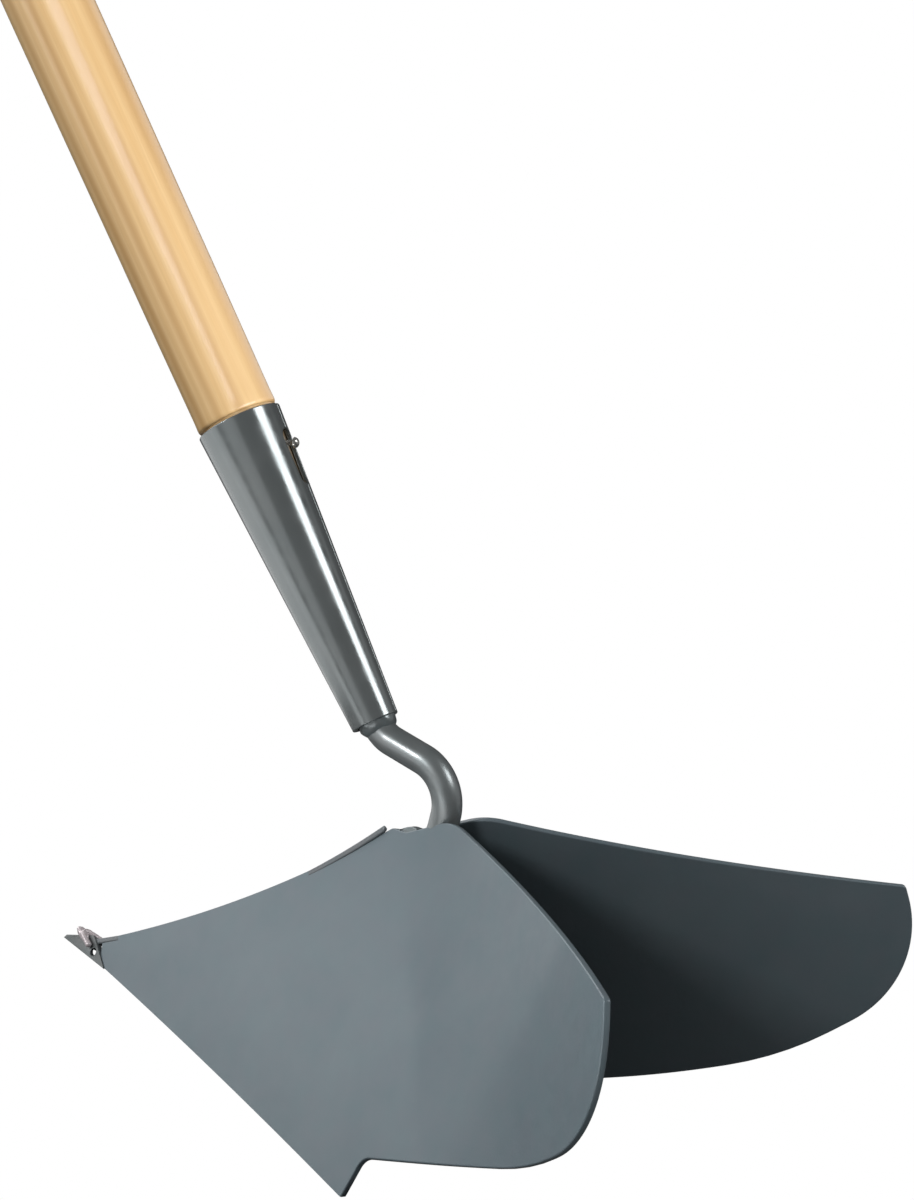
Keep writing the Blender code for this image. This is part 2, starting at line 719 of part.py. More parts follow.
def build():
    cutters = make_trimmers()
    make_wing("left_wing", -1, cutters)
    make_wing("right_wing", 1, cutters)
    make_shin_weld(cutters)
    make_nose(cutters)
    make_nose_weld(cutters)
    make_neck(cutters)
    make_front_weld(cutters)
    make_fillet("neck_weld_left", -1, cutters)
    make_fillet("neck_weld_right", 1, cutters)
    make_socket()
    make_handle()
    make_screw()
    make_socket_weld(cutters)
    move_to_origin()


build()
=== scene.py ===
"""The looks of the two-winged hand ridging plough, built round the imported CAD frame.

Head frame, used for every length below: x runs back from the tip of the nose, y towards the
right wing, z up from the ground. `at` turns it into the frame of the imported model.
All lengths are in metres.
"""
import math

import bmesh
import bpy
from mathutils import Matrix, Vector, kdtree, noise


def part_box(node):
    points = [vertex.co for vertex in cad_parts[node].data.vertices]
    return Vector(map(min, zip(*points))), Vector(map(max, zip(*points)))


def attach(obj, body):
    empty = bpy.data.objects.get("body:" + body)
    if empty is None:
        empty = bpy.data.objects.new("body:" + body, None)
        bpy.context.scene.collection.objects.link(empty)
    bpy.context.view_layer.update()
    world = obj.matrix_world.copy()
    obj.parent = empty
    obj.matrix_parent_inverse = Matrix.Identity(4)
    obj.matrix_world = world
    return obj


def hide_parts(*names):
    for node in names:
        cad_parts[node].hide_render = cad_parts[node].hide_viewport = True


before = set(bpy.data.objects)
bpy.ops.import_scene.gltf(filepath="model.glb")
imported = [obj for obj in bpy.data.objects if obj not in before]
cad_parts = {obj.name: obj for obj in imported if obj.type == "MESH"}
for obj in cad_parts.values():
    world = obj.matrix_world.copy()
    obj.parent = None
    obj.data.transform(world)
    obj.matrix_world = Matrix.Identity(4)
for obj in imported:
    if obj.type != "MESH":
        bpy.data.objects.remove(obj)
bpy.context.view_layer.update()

NOSE_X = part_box("nose_point")[0].x
STUDIO = bpy.context.scene
STEEL = bpy.data.collections.new("steel")    # the groups that the lights light
WOOD = bpy.data.collections.new("wood")

# ---------------------------------------------------------------- sizes of the plough

SEAM = 0.00015                    # half of the room between the two wings at the shin

PLATE = 0.0026                    # the wings' plate
PLATE_EDGE = 0.0006               # rounding of its cut edges
SHARE_LENGTH = 0.187
BLANK_HEIGHT = 0.138
TOP_LENGTH = {-1: 0.2991, 1: 0.3057}
NOTCH_HEIGHT = 0.0165
NOTCH_RADIUS = 0.006
SWEEP_CORNER = (0.2725, 0.0594)
SWEEP_RADIUS = 0.163
TAIL_CORNER = {-1: (0.3193, 0.0982), 1: (0.3220, 0.1028)}
TAIL_RADIUS = {-1: 0.0500, 1: 0.0455}
HUMP_START = {-1: 0.1396, 1: 0.1436}
HUMP_RADIUS = 0.025
GRIND_ALLOWANCE = 0.002

FRONT_ROLL_RADIUS = 1.4
REAR_ROLL_RADIUS = 0.257
ROLL_START = 0.1623
ROLL_SKEW = math.radians(49)
ROLL_STRIP = 0.0025
WING_YAW = math.radians(22.5)
WING_LEAN = math.radians(19.5)
WING_TILT = math.radians(50)
WING_FRONT = Vector((0.0229, -0.0049, 0.0005))

JOINT_FOOT_X = 0.0238
JOINT_LEAN = math.radians(62)
JOINT_GAP_HEIGHT = 0.0024
JOINT_GAP_AHEAD = 0.0012
JOINT_GAP_RADIUS = 0.0017
GAP_RADIUS_SEEN = 0.9 * JOINT_GAP_RADIUS    # less the rounding of its rim

NOSE_HALF_WIDTH = 0.0063
NOSE_HEIGHT = 0.0114
NOSE_WALL = 0.0013
HOLLOW_RUN_OUT = 0.001            # past the back of the fold, so that the back stays open
NOSE_OVERLAP = 0.004
NOSE_BLUNT = 0.0007
NOSE_EDGE = 0.00025
NOSE_LAP = 0.0018                 # how far its sides lap the plates

SHIN_ARC = [(0.0150, 0.0050), (0.0845, 0.0556), (0.1375, 0.1112)]
SHIN_RADIUS = 0.0016
SHIN_RISE = 0.0005                # how far the dressed bead stands above the plates

AXIS_SLOPE = math.radians(43.6)
SOCKET_END = (0.1220, 0.1487)
SOCKET_LENGTH = 0.1279
SOCKET_RIM_RADIUS = 0.01685
SOCKET_END_RADIUS = 0.00935
SOCKET_WALL = 0.0018
SOCKET_EDGE = 0.0004
SOCKET_STRIPS = 120
SEAM_WIDTH = 0.0006
SEAM_CORNER = 0.0008
SEAM_ANGLE = math.radians(20)
SLOT_TOP = 0.0106
SLOT_LENGTH = 0.0226
SLOT_WIDTH = 0.0100
SLOT_END_WIDTH = 0.0060

HANDLE_LENGTH = 1.4
HANDLE_RADIUS = 0.0170
HANDLE_FOOT_RADIUS = 0.0161
HANDLE_TAPER = 0.18
HANDLE_SEAT = 0.085
SEAT_CLEARANCE = 0.0003
BUTT_RADIUS = 0.008
TURNING_STEP = 0.006              # between the rings of the turned pole
TURNING_MARGIN = 0.004            # from its rounded ends to the first and last ring
TURNING_WAVE = 0.04
TURNING_DEPTH = 0.00008
SHOULDER_RISE = 0.0012
SHOULDER_BEVEL = 0.0016

SCREW_DEPTH = 0.0158
SCREW_SLANT = math.radians(25)
SCREW_SHANK_RADIUS = 0.0012
SCREW_HEAD_RADIUS = 0.0022
SCREW_HEAD_HEIGHT = 0.0019
SCREW_INSIDE = 0.0090
SCREW_STANDOFF = 0.0033
SCREW_POINT = 0.002
THREAD_STEP = 0.0003
THREAD_DEPTH = 0.0002

NECK_RADIUS = 0.0059
NECK_INSIDE = 0.016
NECK_CORNERS = [(0.1267, 0.1452, 0.014), (0.1624, 0.1427, 0.017), (0.1624, 0.1160, 0.016)]
NECK_END = (0.1140, 0.0636)
NECK_GRIND_TOP = 0.109

NOSE_WELD_RADIUS = 0.0013
NOSE_WELD_FOOT = 0.0042
NOSE_WELD_BEND = 0.0020
NOSE_WELD_TOP = (0.0058, 0.0075)
NOSE_LUMP_CENTRE = (0.0094, 0, 0.0052)
NOSE_LUMP_RADII = (0.0046, 0.0024, 0.0019)

FRONT_WELD_CENTRE = (0.1460, 0, 0.1106)
FRONT_WELD_RADII = (0.0108, 0.0059, 0.0038)
FRONT_WELD_SLOPE = math.radians(35)

NECK_FILLET_RADIUS = 0.0034
NECK_FILLET_TOP = (0.1585, 0.0072, 0.1085)
NECK_FILLET_FOOT = (0.1225, 0.0072, 0.0695)

SOCKET_WELD_RADIUS = 0.0088
SOCKET_WELD_REACH = 0.0062
SOCKET_WELD_RISE = 0.0008
SOCKET_WELD_INSIDE = 0.001
WELD_RADIUS_SEEN = 0.92 * SOCKET_WELD_RADIUS    # drawn out a little along the neck
WELD_REACH_SEEN = 1.1 * SOCKET_WELD_REACH


def at(x, y, z):
    return Vector((x + NOSE_X, y, z))


# ---------------------------------------------------------------- node materials


class Nodes:
    """A material's node tree, with a short call for each node that is used."""

    def __init__(self, name):
        self.material = bpy.data.materials.new(name)
        self.material.use_nodes = True
        self.tree = self.material.node_tree
        self.shader = self.tree.nodes["Principled BSDF"]
        place = self.tree.nodes.new("ShaderNodeTexCoord")
        self.place = place.outputs["Object"]

    def set(self, **values):
        for name, value in values.items():
            self.shader.inputs[name.replace("_", " ")].default_value = value

    def link(self, source, socket):
        self.tree.links.new(source, self.shader.inputs[socket])

    def fed(self, node, socket, source):
        if isinstance(source, (int, float)):
            node.inputs[socket].default_value = source
        else:
            self.tree.links.new(source, node.inputs[socket])

    def along(self, place, draw):
        """Coordinates in this frame, with the pattern drawn out this many times along Z."""
        node = self.tree.nodes.new("ShaderNodeMapping")
        node.vector_type = "TEXTURE"
        node.inputs["Location"].default_value = place.translation
        node.inputs["Rotation"].default_value = place.to_euler()
        node.inputs["Scale"].default_value = (1, 1, draw)
        self.fed(node, "Vector", self.place)
        return node.outputs["Vector"]

    def noise(self, size, detail=3.0, rough=0.5, where=None):
        node = self.tree.nodes.new("ShaderNodeTexNoise")
        node.inputs["Scale"].default_value = 1 / size
        node.inputs["Detail"].default_value = detail
        node.inputs["Roughness"].default_value = rough
        self.fed(node, "Vector", where or self.place)
        return node.outputs["Fac"]

    def wave(self, size, distortion, where):
        node = self.tree.nodes.new("ShaderNodeTexWave")
        node.wave_type = "RINGS"
        node.rings_direction = "Z"
        node.inputs["Scale"].default_value = 1 / size
        node.inputs["Distortion"].default_value = distortion
        node.inputs["Detail"].default_value = 3
        node.inputs["Detail Scale"].default_value = 1.2
        self.fed(node, "Vector", where)
        return node.outputs["Fac"]

    def ramp(self, source, stops):
        node = self.tree.nodes.new("ShaderNodeValToRGB")
        while len(node.color_ramp.elements) < len(stops):
            node.color_ramp.elements.new(0.5)
        for element, (place, colour) in zip(node.color_ramp.elements, stops):
            element.position = place
            element.color = (*colour, 1)
        self.fed(node, "Fac", source)
        return node.outputs["Color"]

    def between(self, source, low, high, first=0.3, last=0.7):
        node = self.tree.nodes.new("ShaderNodeMapRange")
        self.fed(node, "Value", source)
        node.inputs["From Min"].default_value = first
        node.inputs["From Max"].default_value = last
        node.inputs["To Min"].default_value = low
        node.inputs["To Max"].default_value = high
        return node.outputs["Result"]

    def mixed(self, source, first, second):
        """A mix of two colours; sockets 6, 7 and 2 are the node's colour inputs and output."""
        node = self.tree.nodes.new("ShaderNodeMix")
        node.data_type = "RGBA"
        self.fed(node, "Factor", source)
        for socket, value in ((6, first), (7, second)):
            if isinstance(value, tuple):
                node.inputs[socket].default_value = (*value, 1)
            else:
                self.tree.links.new(value, node.inputs[socket])
        return node.outputs[2]

    def bump(self, source, depth, strength=1.0, before=None):
        node = self.tree.nodes.new("ShaderNodeBump")
        node.inputs["Strength"].default_value = strength
        node.inputs["Distance"].default_value = depth
        self.fed(node, "Height", source)
        if before is not None:
            self.tree.links.new(before, node.inputs["Normal"])
        return node.outputs["Normal"]


def painted_steel(
        name, dark, light, tint, rough, metallic=0.2, grain=0.0012, depth=0.00002, sway=0.00025):
    """Lacquered steel: a slow drift of shade, faint tints, the lacquer's skin (grain and depth)
    and the unevenness of the sheet below it (sway)."""
    look = Nodes(name)
    drift = look.between(look.noise(0.035, 2), 0, 1)
    colour = look.mixed(drift, dark, light)
    colour = look.mixed(look.between(look.noise(0.011, 2), 0, 0.35), colour, tint)
    look.link(colour, "Base Color")
    look.link(look.between(look.noise(0.006, 4), rough - 0.05, rough + 0.06), "Roughness")
    skin = look.bump(look.noise(grain, 3), depth, 0.6)
    look.link(look.bump(look.noise(0.02, 1), sway, 0.5, skin), "Normal")
    look.set(Metallic=metallic, Coat_Weight=0.25, Coat_Roughness=0.12)
    return look.material


HEART_OF_TREE = (0.045, 0.02, 0)    # from the pole's middle to the middle of the rings
RING_SPACING = 0.026
RING_DRAW = 50
FIBRE_WIDTH = 0.0007
FIBRE_DRAW = 33
PATCH_WIDTH = 0.02
PATCH_DRAW = 8
# how far the painted shade on the seat fades in below the socket's rim
SEAT_SHADE_FADE = 0.003


def varnished_ash(name, pole):
    """Straight-grained ash: growth rings drawn out along the pole, pores, gloss varnish, and
    painted shade on the seat inside the socket, darkened to stand in for the shadow there."""
    look = Nodes(name)
    from_heart = look.tree.nodes.new("ShaderNodeVectorMath")
    from_heart.inputs[1].default_value = HEART_OF_TREE
    look.fed(from_heart, 0, look.along(pole, RING_DRAW))
    rings = look.wave(RING_SPACING, 1.6, from_heart.outputs["Vector"])
    colour = look.ramp(rings, [
        (0.0, (0.56, 0.33, 0.13)), (0.3, (0.66, 0.42, 0.19)),
        (0.65, (0.74, 0.50, 0.24)), (1.0, (0.70, 0.45, 0.20))])
    fibres = look.noise(FIBRE_WIDTH, 4, 0.6, look.along(pole, FIBRE_DRAW))
    colour = look.mixed(look.between(fibres, 0, 0.28), colour, (0.50, 0.30, 0.12))
    patches = look.noise(PATCH_WIDTH, 2, 0.5, look.along(pole, PATCH_DRAW))
    colour = look.mixed(look.between(patches, 0, 0.35), colour, (0.80, 0.58, 0.31))
    height = look.tree.nodes.new("ShaderNodeSeparateXYZ")
    look.fed(height, 0, look.along(pole, 1))
    # Painted shade: below the socket's rim the wood is darkened almost to black, standing in for
    # the shadow inside the socket that shows through the slot.
    seat_shade = look.between(
        height.outputs["Z"], 0.8, 0, SOCKET_LENGTH - SEAT_SHADE_FADE, SOCKET_LENGTH)
    colour = look.mixed(seat_shade, colour, (0.045, 0.038, 0.032))
    look.link(colour, "Base Color")
    look.link(look.between(fibres, 0.34, 0.46), "Roughness")
    look.link(look.bump(fibres, 0.00004, 0.5), "Normal")
    look.set(Coat_Weight=0.55, Coat_Roughness=0.16, Specular_IOR_Level=0.5)
    return look.material


def plated_steel(name):
    """Bright zinc plating with faint clouds and a fine tooth."""
    look = Nodes(name)
    clouds = look.noise(0.002, 3)
    look.link(look.mixed(clouds, (0.50, 0.50, 0.48), (0.80, 0.79, 0.76)), "Base Color")
    look.link(look.between(look.noise(0.0006, 4), 0.18, 0.34), "Roughness")
    look.link(look.bump(look.noise(0.0005, 3), 0.00002, 0.5), "Normal")
    look.set(Metallic=0.9)
    return look.material


WING_PAINT = painted_steel(
    "wing_paint", (0.149, 0.203, 0.229), (0.173, 0.226, 0.251), (0.190, 0.207, 0.240), 0.42)
NECK_PAINT = painted_steel(
    "neck_paint", (0.250, 0.285, 0.290), (0.300, 0.335, 0.342), (0.320, 0.310, 0.316), 0.36,
    metallic=0.6, sway=0.0001)
SOCKET_PAINT = painted_steel(
    "socket_paint", (0.250, 0.280, 0.285), (0.300, 0.325, 0.328), (0.290, 0.310, 0.312), 0.21,
    metallic=0.65, sway=0.00005)
WELD_PAINT = painted_steel(
    "weld_paint", (0.200, 0.250, 0.262), (0.270, 0.310, 0.318), (0.300, 0.285, 0.288), 0.34,
    metallic=0.5, grain=0.0006, depth=0.00005)
SHIN_PAINT = painted_steel(
    "shin_paint", (0.140, 0.165, 0.180), (0.175, 0.200, 0.212), (0.200, 0.185, 0.195), 0.42)
NOSE_PAINT = painted_steel(
    "nose_paint", (0.110, 0.145, 0.150), (0.170, 0.180, 0.180), (0.200, 0.180, 0.180), 0.40)
# Pale weld metal with painted highlight: the light pinkish base colour stands partly for the
# glint on the bead over the nose joint.
PALE_WELD_AND_HIGHLIGHT = painted_steel(
    "pale_weld_and_painted_highlight", (0.700, 0.620, 0.645), (0.800, 0.720, 0.740), (0.520, 0.500, 0.510), 0.40,
    metallic=0.3, grain=0.0006, depth=0.00006)
PLATED = plated_steel("plated_screw")

# ---------------------------------------------------------------- shaping


def arc(centre, first, last, count):
    start, end = first - centre, last - centre
    return [centre + start.slerp(end, i / count) * start.length for i in range(count + 1)]


def arc_points(before, corner, after, radius, step=math.radians(3)):
    """The round corner of this radius between two straight runs, as points."""
    back = (before - corner).normalized()
    ahead = (after - corner).normalized()
    turn = math.pi - back.angle(ahead)
    if radius == 0 or turn < 1e-4:
        return [corner.copy()]
    tangent = radius * math.tan(turn / 2)
    middle = (back + ahead).normalized()
    centre = corner + middle * (radius / math.cos(turn / 2))
    first = corner + back * tangent
    last = corner + ahead * tangent
    return arc(centre, first, last, max(2, round(turn / step)))


def rounded(corners, closed, step=math.radians(3)):
    count = len(corners)
    points = []
    for i, (corner, radius) in enumerate(corners):
        if not closed and i in (0, count - 1):
            points.append(corner.copy())
            continue
        before = corners[i - 1][0]
        after = corners[(i + 1) % count][0]
        points.extend(arc_points(before, corner, after, radius, step))
    return points


def evenly(points, step):
    """Points along the same path, this far apart."""
    lengths = [(b - a).length for a, b in zip(points, points[1:])]
    count = max(2, round(sum(lengths) / step))
    out, run, i = [], 0.0, 0
    for k in range(count + 1):
        target = sum(lengths) * k / count
        while i < len(lengths) - 1 and run + lengths[i] < target:
            run += lengths[i]
            i += 1
        part = min(1, (target - run) / max(lengths[i], 1e-12))
        out.append(points[i].lerp(points[i + 1], part))
    return out


def curve_mesh(points, closed=False, flat=False, radii=None, **settings):
    """The mesh of a curve with these settings, as bmesh, with matching points merged."""
    data = bpy.data.curves.new("draft", "CURVE")
    data.dimensions = "2D" if flat else "3D"
    spline = data.splines.new("POLY")
    spline.points.add(len(points) - 1)
    for i, (knot, point) in enumerate(zip(spline.points, points)):
        knot.co = (*point, 1)
        knot.radius = radii[i] if radii else 1
    spline.use_cyclic_u = closed
    for name, value in settings.items():
        setattr(data, name, value)
    thing = bpy.data.objects.new("draft", data)
    STUDIO.collection.objects.link(thing)
    bpy.context.view_layer.update()
    graph = bpy.context.evaluated_depsgraph_get()
    mesh = bpy.data.meshes.new_from_object(thing.evaluated_get(graph), depsgraph=graph)
    bpy.data.objects.remove(thing, do_unlink=True)
    bm = bmesh.new()
    bm.from_mesh(mesh)
    bpy.data.meshes.remove(mesh)
    bmesh.ops.remove_doubles(bm, verts=bm.verts, dist=2e-6)
    bmesh.ops.recalc_face_normals(bm, faces=bm.faces)
    return bm


def face_all(bm, rule=None):
    """Store the smooth normal of every point; a rule gives it where it is known exactly."""
    bm.normal_update()
    layer = bm.verts.layers.float_vector.new("facing")
    for vert in bm.verts:
        vert[layer] = rule(vert) if rule else vert.normal
    bm.faces.layers.int.new("cap")


def cut(bm, place, normal):
    """Trim to a plane, drop what lies on the normal's side and close the cut."""
    cap = bm.faces.layers.int["cap"]
    everything = bm.verts[:] + bm.edges[:] + bm.faces[:]
    result = bmesh.ops.bisect_plane(
        bm, geom=everything, dist=1e-7, plane_co=place, plane_no=normal, clear_outer=True)
    edges = [item for item in result["geom_cut"] if isinstance(item, bmesh.types.BMEdge)]
    old = set(bm.faces)
    bmesh.ops.holes_fill(bm, edges=edges, sides=0)
    for face in bm.faces:
        if face not in old:
            face[cap] = 1


SAME_FACING = 0.6                 # cosine between a stored normal and its face, at least
SHARP_ANGLE = math.radians(32)


def into_strips(bm, low, high, count):
    """Cut a flat blank across X into this many strips, so that it can be rolled."""
    for i in range(1, count):
        everything = bm.verts[:] + bm.edges[:] + bm.faces[:]
        bmesh.ops.bisect_plane(
            bm, geom=everything, dist=1e-7, plane_co=(low + (high - low) * i / count, 0, 0),
            plane_no=(1, 0, 0))


def flat_or_round(half):
    """The rule for a bevelled plate: straight up or down on its faces, smooth on its edges."""
    def rule(vert):
        if abs(vert.co.z) > half - 1e-6:
            return Vector((0, 0, math.copysign(1, vert.co.z)))
        return vert.normal
    return rule


def piece_from(bm, name, material, slot, nodes, place=None):
    """The finished piece, with stored normals where they agree with the faces."""
    layer = bm.verts.layers.float_vector.get("facing")
    cap = bm.faces.layers.int.get("cap")
    bmesh.ops.triangulate(bm, faces=[f for f in bm.faces if len(f.verts) > 4])
    bm.normal_update()
    normals = None
    if layer is not None:
        normals = []
        for face in bm.faces:
            for loop in face.loops:
                smooth = Vector(loop.vert[layer])
                flat = face[cap] or smooth.dot(face.normal) < SAME_FACING
                normals.append(face.normal.copy() if flat else smooth.normalized())
    mesh = bpy.data.meshes.new(name)
    if place is not None:
        bm.transform(place)
        turn = place.to_3x3()
        normals = [turn @ normal for normal in normals] if normals else None
    bm.to_mesh(mesh)
    bm.free()
    mesh.materials.clear()
    mesh.materials.append(material)
    mesh.shade_smooth()
    if normals:
        mesh.normals_split_custom_set(normals)
        mesh.attributes.remove(mesh.attributes["facing"])
        mesh.attributes.remove(mesh.attributes["cap"])
    else:
        mesh.set_sharp_from_angle(angle=SHARP_ANGLE)
    thing = bpy.data.objects.new(name, mesh)
    STUDIO.collection.objects.link(thing)
    (WOOD if slot == "ash_pole" else STEEL).objects.link(thing)
    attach(thing, "root")
    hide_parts(*nodes)
    return thing


LUMP_SIZE = 0.0025
BEAD_TIP = 0.12                   # radius of a bead's last ring, as a part of the bead's


def bead_mesh(points, radius, pitch, ripple, lumps):
    """A run of weld: overlapping drops along the path, with rounded ends."""
    path = evenly(points, pitch / 6)
    reach = [0.0]
    for a, b in zip(path, path[1:]):
        reach.append(reach[-1] + (b - a).length)
    radii = []
    for point, run in zip(path, reach):
        wave = abs(math.sin(math.pi * run / pitch))
        lump = noise.noise(point / LUMP_SIZE)
        radii.append(1 - ripple + ripple * wave + lumps * lump)
    for i, run in enumerate(reach):
        from_end = min(run, reach[-1] - run) / radius
        if from_end < 1:
            radii[i] *= max(BEAD_TIP, math.sqrt(1 - (1 - from_end) ** 2))
    return curve_mesh(
        path, radii=radii, bevel_depth=radius, bevel_resolution=7, use_fill_caps=True)


def turned_mesh(profile, segments):
    """A solid of revolution about Z from a (radius, height) outline that starts and ends at
    the axis."""
    bm = bmesh.new()
    rings = []
    for radius, height in profile:
        if radius == 0:
            rings.append([bm.verts.new((0, 0, height))])
            continue
        angles = [2 * math.pi * i / segments for i in range(segments)]
        rings.append([
            bm.verts.new((radius * math.cos(a), radius * math.sin(a), height)) for a in angles])
    for low, high in zip(rings, rings[1:]):
        for i in range(segments):
            j = (i + 1) % segments
            corners = [
                low[i % len(low)], low[j % len(low)], high[j % len(high)], high[i % len(high)]]
            unique = list(dict.fromkeys(corners))
            if len(unique) > 2:
                bm.faces.new(unique)
    bmesh.ops.recalc_face_normals(bm, faces=bm.faces)
    return bm


# ---------------------------------------------------------------- the wings


def wing_axes():
    """Columns: the roll direction, the bend lines' direction and the outward normal."""
    normal = Vector((
        -math.sin(WING_YAW) * math.cos(WING_LEAN),
        -math.cos(WING_YAW) * math.cos(WING_LEAN),
        math.sin(WING_LEAN)))
    level = normal.cross(Vector((0, 0, 1))).normalized()
    if level.x < 0:
        level = -level
    slope = level.cross(normal)
    if slope.z < 0:
        slope = -slope
    roll = level * math.cos(WING_TILT) + slope * math.sin(WING_TILT)
    bend = slope * math.cos(WING_TILT) - level * math.sin(WING_TILT)
    return Matrix((roll, bend, normal)).transposed()


WING_AXES = wing_axes()


def roll_at(s):
    radius = REAR_ROLL_RADIUS if s > ROLL_START else FRONT_ROLL_RADIUS
    return radius, (s - ROLL_START) / radius


def rolled(s, q, w):
    radius, turn = roll_at(s)
    along = ROLL_START + (radius - w) * math.sin(turn)
    out = radius - (radius - w) * math.cos(turn)
    return Vector((along, q, out))


def mirrored(vector, side):
    return Vector((vector.x, -side * vector.y, vector.z))


def on_wing(point, side):
    placed = WING_FRONT + WING_AXES @ (rolled(*point) - rolled(0, 0, 0))
    return at(*mirrored(placed, side))


def wing_facing(s, facing, side):
    turn = roll_at(s)[1]
    along = Vector((math.cos(turn), 0, math.sin(turn)))
    out = Vector((-math.sin(turn), 0, math.cos(turn)))
    turned = along * facing.x + Vector((0, facing.y, 0)) + out * facing.z
    return mirrored(WING_AXES @ turned, side)


def blank_corners(side):
    shape = [
        (0.002, -GRIND_ALLOWANCE, 0),
        (SHARE_LENGTH, -GRIND_ALLOWANCE, 0),
        (SHARE_LENGTH - 0.0005, NOTCH_HEIGHT, NOTCH_RADIUS),
        (*SWEEP_CORNER, SWEEP_RADIUS),
        (*TAIL_CORNER[side], TAIL_RADIUS[side]),
        (TOP_LENGTH[side], BLANK_HEIGHT, 0.002),
        (HUMP_START[side], BLANK_HEIGHT, HUMP_RADIUS),
        (0.1174, 0.1223, 0.003),
        (0.0930, 0.1165, 0),
        (0.0450, 0.0720, 0),
        (-0.0140, 0.0180, 0)]
    return [(Vector((u, v, 0)), radius) for u, v, radius in shape]


def joint_plane():
    """A point of the plane where the nose meets the wings, and its normal to the front."""
    normal = Vector((-math.cos(JOINT_LEAN), 0, -math.sin(JOINT_LEAN)))
    return at(JOINT_FOOT_X, 0, 0), normal


def make_wing(name, side, node):
    cos, sin = math.cos(ROLL_SKEW), math.sin(ROLL_SKEW)
    outline = [
        Vector((p.x * cos + p.y * sin, p.y * cos - p.x * sin, 0))
        for p in rounded(blank_corners(side), closed=True)]
    bm = curve_mesh(
        outline, closed=True, flat=True, fill_mode="BOTH", extrude=PLATE / 2 - PLATE_EDGE,
        bevel_depth=PLATE_EDGE, bevel_resolution=3, offset=-PLATE_EDGE)
    face_all(bm, flat_or_round(PLATE / 2))
    low = min(v.co.x for v in bm.verts)
    high = max(v.co.x for v in bm.verts)
    into_strips(bm, low, high, round((high - low) / ROLL_STRIP))
    layer = bm.verts.layers.float_vector["facing"]
    for vert in bm.verts:
        s, q, w = vert.co
        vert[layer] = wing_facing(s, Vector(vert[layer]), side)
        vert.co = on_wing((s, q, w - PLATE / 2), side)
    if side > 0:
        bmesh.ops.reverse_faces(bm, faces=bm.faces)
    cut(bm, at(0, side * SEAM, 0), Vector((0, -side, 0)))
    cut(bm, at(0, 0, 0), Vector((0, 0, -1)))
    cut(bm, *joint_plane())
    return piece_from(bm, name, WING_PAINT, "painted_steel", [node])


def over_wing(place, side):
    """The way back from a point to the flat blank: along, across and above its outer face."""
    ahead = mirrored(place - at(0, 0, 0), side) - WING_FRONT
    along, q, out = WING_AXES.transposed() @ ahead + rolled(0, 0, 0)
    radius = REAR_ROLL_RADIUS if along > ROLL_START else FRONT_ROLL_RADIUS
    turn = math.atan2(along - ROLL_START, radius - out)
    above = radius - math.hypot(along - ROLL_START, radius - out)
    return ROLL_START + radius * turn, q, above


def press_to_wings(bm, top, sides=(-1, 1)):
    """Press what lies below this height back to the middle of the plates, as if ground to
    fit between them."""
    for side in sides:
        for vert in bm.verts:
            if vert.co.z < top:
                s, q, above = over_wing(vert.co, side)
                if above > -PLATE / 2:
                    vert.co = on_wing((s, q, -PLATE / 2), side)


# ---------------------------------------------------------------- nose, neck and welds


def circle_through(first, middle, last, count=60):
    a, b, c = (Vector(p) for p in (first, middle, last))
    ab, bc = b - a, c - b
    half_ab, half_bc = (a + b) / 2, (b + c) / 2
    across = ab.x * bc.y - ab.y * bc.x
    reach = (half_bc - half_ab).dot(bc) / across
    centre = half_ab + Vector((-ab.y, ab.x)) * reach
    return arc(centre, a, c, count)


def make_shin_weld():
    """The bead along the shin, dressed down to a low rounded ridge over both plates."""
    path = evenly([at(x, 0, z) for x, z in circle_through(*SHIN_ARC)], 0.0002)
    bm = bead_mesh(path, SHIN_RADIUS, pitch=0.0030, ripple=0.02, lumps=0.04)
    line = kdtree.KDTree(len(path))
    for i, point in enumerate(path):
        line.insert(point, i)
    line.balance()
    for vert in bm.verts:
        centre = line.find(vert.co)[0]
        out = vert.co - centre
        side = 1 if vert.co.y > 0 else -1
        facing = wing_facing(over_wing(vert.co, side)[0], Vector((0, 0, 1)), side)
        lift = out.normalized().dot(facing)
        if lift > 0.05 and out.length > SHIN_RISE / lift:
            vert.co = centre + out.normalized() * (SHIN_RISE / lift)
    face_all(bm)
    piece_from(bm, "shin_bead", SHIN_PAINT, "weld_steel", ["shin_weld"])


def wedge_mesh(tip, back_x, half_width, height, foot):
    bm = bmesh.new()
    for x, y, z in (
            (tip, -NOSE_BLUNT, foot), (tip, NOSE_BLUNT, foot),
            (tip + NOSE_BLUNT, 0, foot + 2 * NOSE_BLUNT),
            (back_x, -half_width, foot), (back_x, half_width, foot), (back_x, 0, height)):
        bm.verts.new(at(x, y, z))
    bmesh.ops.convex_hull(bm, input=bm.verts)
    return bm


def draft_object(bm):
    mesh = bpy.data.meshes.new("draft")
    bm.to_mesh(mesh)
    bm.free()
    thing = bpy.data.objects.new("draft", mesh)
    STUDIO.collection.objects.link(thing)
    return thing


def joint_point(height, side=0, out=0.0):
    return Vector((JOINT_FOOT_X - height * math.tan(JOINT_LEAN), side * out, height))


